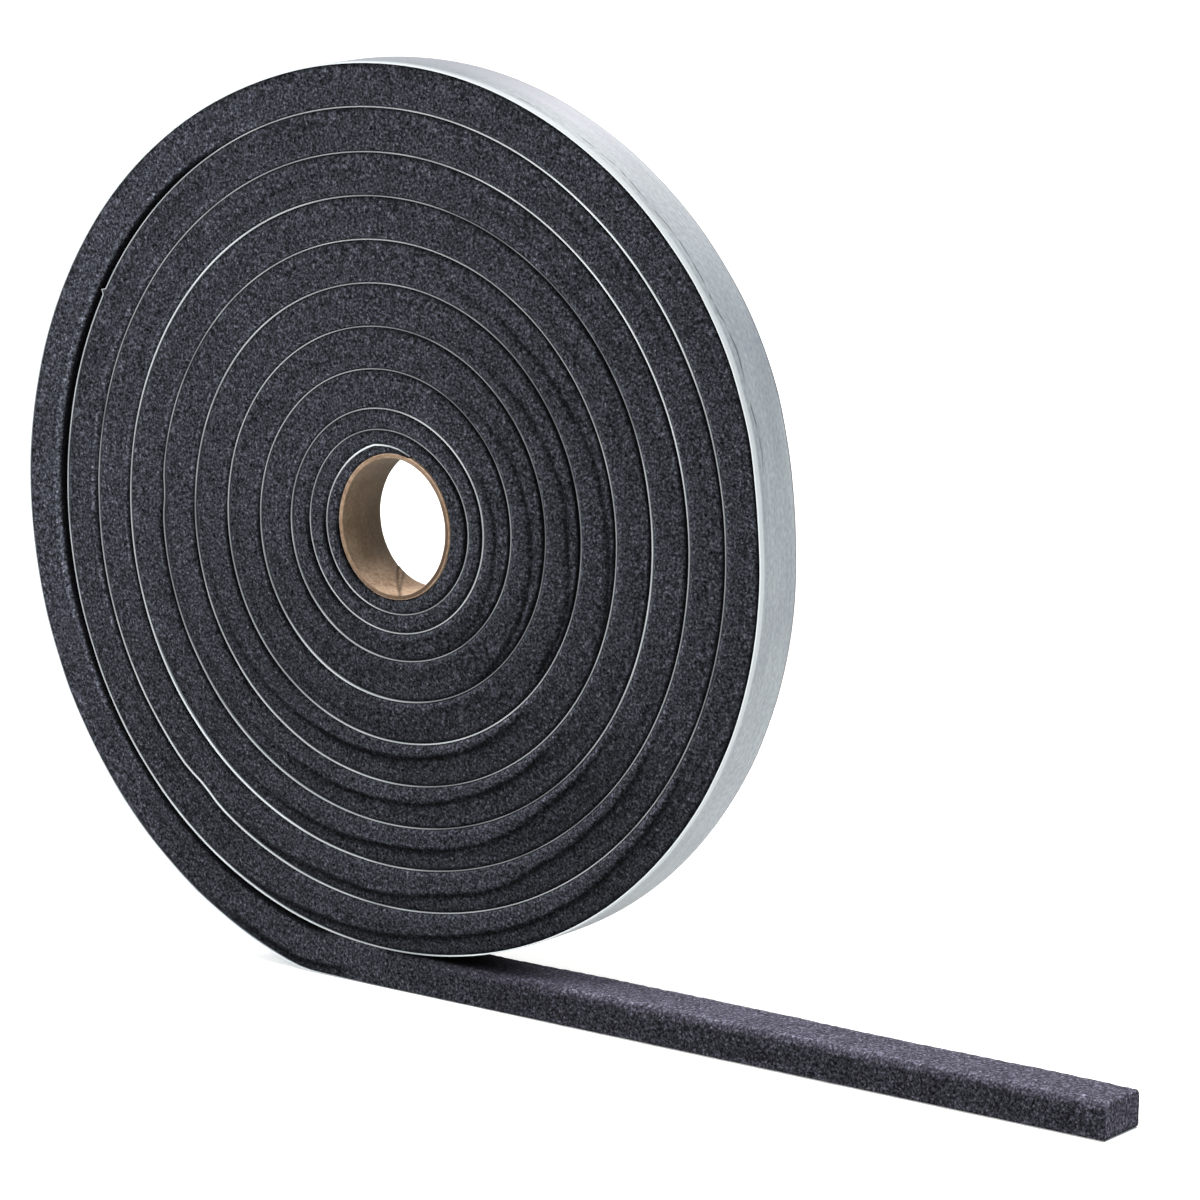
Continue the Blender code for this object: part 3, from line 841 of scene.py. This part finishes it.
def makePaper():
    # a thin band along the outer side of every turn and under the loose end: the line's radius, less the
    # thickness on its inner side, less the curl of its front strip; its width wanders where it stands
    # between turns
    s = paperSetting
    turns = winding["turns"]
    columns = np.array([-1.0, -0.965, -0.9, -0.83, -0.77, -0.6, -0.3,
                        0.0, 0.3, 0.6, 0.8, 0.9, 0.965, 1.0])
    wide = joined(columns, columns[::-1])
    isInner = joined(np.zeros(len(columns)), np.ones(len(columns)))

    aroundNick = s["nickTurn"] + 0.0007 * np.arange(-3, 4)
    turn = np.sort(joined(turnSteps(s["stepsPerTurn"]), aroundNick))
    run = np.linspace(0.0, winding["tailLength"], s["tailSteps"])[1:]
    line = turnLine(turn)
    place = rollPlace(line, angleOf(turn))
    alongRoll = joined([0.0], np.cumsum(np.hypot(*np.diff(place, axis=0).T)))
    along = joined(alongRoll, alongRoll[-1] + run)
    thick = joined(paperThick(turn), np.full(len(run), s["thickUnder"]))
    exposed = joined(rise(turn - turns, -0.99, 0.03), np.ones(len(run)))
    under = joined(rise(turn - turns, -0.05, 0.05), np.ones(len(run)))
    allTurns = joined(turn, np.full(len(run), turns))
    proud = edgeShown(allTurns)
    standing = s["half"] + s["proudBy"] * proud + s["halfVaries"] * (
        softNoise(along / 37.0, 101) + 0.5 * softNoise(along / 9.0, 102))
    lying = s["halfOpen"] * (1.0 - under) + s["halfUnder"] * under
    half = standing * (1.0 - exposed) + lying * exposed
    curlDepth = s["curl"] * exposed * (1.0 - under) * (0.65 + 0.35 * softNoise(along / 26.0, 111))
    half = half - 0.09 * exposed * (1.0 - under) * (1.0 + softNoise(along / 8.0, 131))
    y = wide[None, :] * (half[:, None] - s["backShort"] * exposed[:, None] * (wide > 0.0)[None, :])
    curl = curlDepth[:, None] * rise(np.abs(y), s["curlFrom"], 1.3)
    nick = s["nickTall"] * bell(allTurns - s["nickTurn"], 0.0008)
    depth = thick[:, None] * isInner[None, :] + curl - nick[:, None] * (wide < -0.95)[None, :]
    count = len(turn)
    rollPart = rollPlace(line[:, None] - depth[:count], angleOf(turn)[:, None])
    tailPart = np.stack([axisX + run[:, None] + 0.0 * wide[None, :], depth[count:]], axis=-1)
    flat = joined(rollPart, tailPart)
    places = np.stack([flat[..., 0], y, flat[..., 1]], axis=-1)
    points, rings = len(wide), len(places)
    faces = ringQuads(rings, points).tolist()
    faces.append(list(range(points))[::-1])
    faces.append(list(range((rings - 1) * points, rings * points)))
    isEdge = (np.abs(wide) > 0.99).astype(float)
    backEdge = s["backEdge"] * exposed[:, None] * (wide > 0.95)[None, :]
    underEdge = s["underEdge"] * under[:, None] * (np.abs(wide) > 0.9)[None, :]
    slowly, quickly = s["edgeShadeVaries"]
    # painted shade greys the edges that lie sunken between the turns, less where they stand proud
    edgeShade = np.clip(s["edgeShade"] - s["edgeShade"] * proud + slowly * softNoise(along / 55.0, 121)
                   + quickly * softNoise(along / 6.0, 122), 0.0, 0.9) * (1.0 - exposed)
    upper = np.mod(joined(angleOf(turn), np.full(len(run), 270.0)) + 90.0, 360.0) - 90.0
    # where the crease's painted shade lies: the rim's upper right
    creased = exposed * rise(upper, 8.0, 12.0) * fall(upper, 70.0, 25.0)
    # a painted lilac reflection on the rim behind the crease
    lilac = s["lilac"] * exposed * bell(upper - s["lilacAngle"], 20.0)
    marks = {"cutEdge": np.tile(isEdge, rings), "creased": np.repeat(creased, points),
             "edgeShadeMark": np.maximum(edgeShade[:, None] + backEdge, underEdge).ravel(),
             "lilac": (lilac[:, None] * rise(y, -2.5, 3.0)).ravel()}
    # the inner side lies 20 mm beside the outer side in the layout
    across = y.ravel() + 20.0 * np.tile(isInner, rings)
    layout = np.stack([np.repeat(along, points), across], axis=-1) / 1000.0
    makePiece("backingPaper", places.reshape(-1, 3), faces, paperMaterial(), ["release_liner"],
              marks, layout)


makePaper()


coreSetting = {
    "steps": 300,
    "seamSteps": 120,  # of these, in the stretch the seam crosses
    "half": 5.95,
    "wall": 0.9,
    "boreRadius": 12.6,  # turns the seam's angles into mm
    "edgeRound": 0.16,
    "seamFront": 279.0,  # where the inner ply's seam meets the front and the back rim, in degrees
    "seamBack": 232.0,
    "secondBack": 242.0,  # a second line beside the seam starts here and runs into it
    "seamWide": 0.24,
    "seamDeep": 0.22,
    "fibre": 0.7,  # sizes of the board's pattern in mm
    "cloud": 6.0,
    "boardHex": "#dabca1",
    "boardHexDark": "#92755a",
    "plyHex": "#3d2a1a",
    "boardHexShade": "#2b2009",
}


def coreMaterial():
    # spirally wound kraft board: matt tan paper with short fibres and specks, its cut rim showing darker
    # plies, and browner with painted shade at the upper left of the bore
    s = coreSetting
    material, tree, shader = startMaterial("spirallyWoundKraftBoard")
    place = addNode(tree, "TexCoord").outputs["Object"]
    fibres = addNode(tree, "TexNoise", {}, {"Vector": place, "Scale": 1000.0 / s["fibre"],
                                            "Detail": 5.0, "Roughness": 0.7})
    clouds = addNode(tree, "TexNoise", {}, {"Vector": place, "Scale": 1000.0 / s["cloud"], "Detail": 2.0})
    tone = addNode(tree, "Math", "MULTIPLY_ADD", {0: clouds, 1: 0.6, 2: fibres})
    share = addNode(tree, "MapRange", {}, {"Value": tone, "From Min": 0.6, "From Max": 1.0})
    plies, boreShade = (addNode(tree, "Attribute", {"attribute_name": name}).outputs["Fac"]
                      for name in ("plies", "boreShade"))
    colour = linearColour(s["boardHexDark"])
    for factor, hexName in ((share, "boardHex"), (plies, "plyHex"), (boreShade, "boardHexShade")):
        colour = addNode(tree, "Mix", {"data_type": "RGBA"},
                         {0: factor, 6: colour, 7: linearColour(s[hexName])}).outputs[2]
    finishMaterial(tree, shader, colour, tone, (0.4, 0.0001), 0.88)
    return material


def makeCore():
    # a tube wall carried round an ellipse: bore at one side, outside at the other, plies at the rim, and
    # a seam that crosses the inside on a slant
    s = coreSetting
    degrees = joined(np.linspace(-138.0, -70.0, s["seamSteps"], endpoint=False),
                     np.linspace(-70.0, 222.0, s["steps"] - s["seamSteps"], endpoint=False))
    outsideRadius = coreOutside(degrees)
    edge = s["edgeRound"]
    rimDepth = np.array([edge, 0.3, 0.42, 0.6, s["wall"] - edge])  # across the rim, with one groove
    rimLift = np.array([0.0, 0.0, -0.07, 0.0, 0.0])
    boreY = np.linspace(-s["half"] + edge, s["half"] - edge, 25)
    depth = joined(rimDepth, np.full(25, s["wall"]), rimDepth[::-1], np.zeros(7))
    y = joined(-s["half"] - rimLift, boreY, s["half"] + rimLift[::-1],
               np.linspace(s["half"] - edge, -s["half"] + edge, 7))
    inBore = joined(np.zeros(5), np.ones(25), np.zeros(12))
    isRim = joined(np.ones(5), np.zeros(25), np.ones(5), np.zeros(7))
    seamAt = s["seamFront"] + (s["seamBack"] - s["seamFront"]) * (y + s["half"]) / (2 * s["half"])
    away = np.radians(signedAngle(degrees[:, None] - seamAt[None, :])) * s["boreRadius"]
    groove = s["seamDeep"] * bell(away, s["seamWide"]) * inBore[None, :]
    lap = 0.10 * rise(away, -0.1, 0.2) * np.exp(-np.maximum(away, 0.0) / 3.0) * inBore[None, :]
    uneven = 0.03 * softNoise(degrees / 9.0, 131)
    radius = outsideRadius[:, None] - depth[None, :] + groove - lap + uneven[:, None]
    flat = rollPlace(radius, degrees[:, None])
    places = np.stack([flat[..., 0], y + 0.0 * radius, flat[..., 1]], axis=-1)
    # the rings close, so the last one meets the first, and they run the other way round than the tape's
    quads = ringQuads(s["steps"] + 1, len(y)) % radius.size
    faces = np.roll(quads[:, ::-1], 1, axis=1).tolist()
    secondAt = (s["seamFront"] - 2.0
                + (s["secondBack"] - s["seamFront"]) * (y + s["half"]) / (2 * s["half"]))
    fromSecond = np.radians(signedAngle(degrees[:, None] - secondAt[None, :])) * s["boreRadius"]
    seamTone = np.maximum(bell(away, 1.25 * s["seamWide"]), 0.85 * bell(fromSecond, 0.25))
    seamTone = seamTone * inBore[None, :]
    # the cut rim is dark at the lower right and catches the light at the upper left
    rimDark = 0.78 + 0.20 * np.cos(np.radians(degrees + 40.0))
    plies = np.clip(rimDark[:, None] * isRim[None, :] + seamTone, 0.0, 1.0)
    # painted shade in the bore, darkest at its upper left and deeper in
    boreShade = (0.95 * smoothStep(0.66 + 0.72 * np.cos(np.radians(degrees - 146.0)))[:, None]
               * (0.86 + 0.14 * (y + s["half"]) / (2 * s["half"]))[None, :]) * inBore[None, :]
    makePiece("cardboardCore", places.reshape(-1, 3), faces, coreMaterial(), ["cardboard_core"],
              {"plies": plies.ravel(), "boreShade": boreShade.ravel()})


makeCore()


studioSetting = {
    "floorHex": "#fafaf8",
    "floorHalf": 6.0,
    "floorGlow": 0.30,  # lit a little from below, like a light table, so that shadows stay faint
    "worldStrength": 0.66,
    "sunDirection": (0.16, -0.30, 0.94),  # towards the large light, high on the viewer's side
    "sunStrength": 2.0,
    "sunWide": 24.0,
}


def addLight(name, data, direction):
    # a light that stands in this direction from what it shines on
    light = addObject(name, data)
    light.rotation_mode = "QUATERNION"
    light.rotation_quaternion = direction.to_track_quat("Z", "Y")
    return light


def makeStudio():
    # one sheet of pale paper under white surroundings, and a large soft light from above
    s = studioSetting
    material, _, shader = startMaterial("paleStudioFloor")
    shader.inputs["Base Color"].default_value = linearColour(s["floorHex"])
    shader.inputs["Roughness"].default_value = 0.9
    shader.inputs["Emission Color"].default_value = linearColour(s["floorHex"])
    shader.inputs["Emission Strength"].default_value = s["floorGlow"]
    size, level = s["floorHalf"], -0.0001
    mesh = bpy.data.meshes.new("studioFloor")
    corners = [(-size, -size, level), (size, -size, level), (size, size, level), (-size, size, level)]
    mesh.from_pydata(corners, [], [(0, 1, 2, 3)])
    mesh.materials.append(material)
    addObject("studioFloor", mesh)

    world = bpy.data.worlds.new("studioWorld")
    bpy.context.scene.world = world
    world.use_nodes = True
    background = world.node_tree.nodes["Background"]
    background.inputs["Color"].default_value = (1.0, 1.0, 1.0, 1.0)
    background.inputs["Strength"].default_value = s["worldStrength"]

    data = bpy.data.lights.new("overheadLight", "SUN")
    data.energy = s["sunStrength"]
    data.angle = math.radians(s["sunWide"])
    addLight("overheadLight", data, Vector(s["sunDirection"]))


def addSoftbox(name, place, aim, size, watts):
    # a square area light that faces its aim
    data = bpy.data.lights.new(name, "AREA")
    data.size = size
    data.energy = watts
    addLight(name, data, Vector(place) - Vector(aim)).location = place


makeStudio()
addSoftbox("softboxLeft", (-0.37, -0.33, 0.26), (-0.11, 0.0, 0.10), 0.3, 1.3)
addSoftbox("softboxBack", (-0.11, 0.80, 0.68), (0.0, 0.0, 0.1), 0.6, 4.5)
bpy.context.scene.view_settings.view_transform = "Standard"
print("studio set")
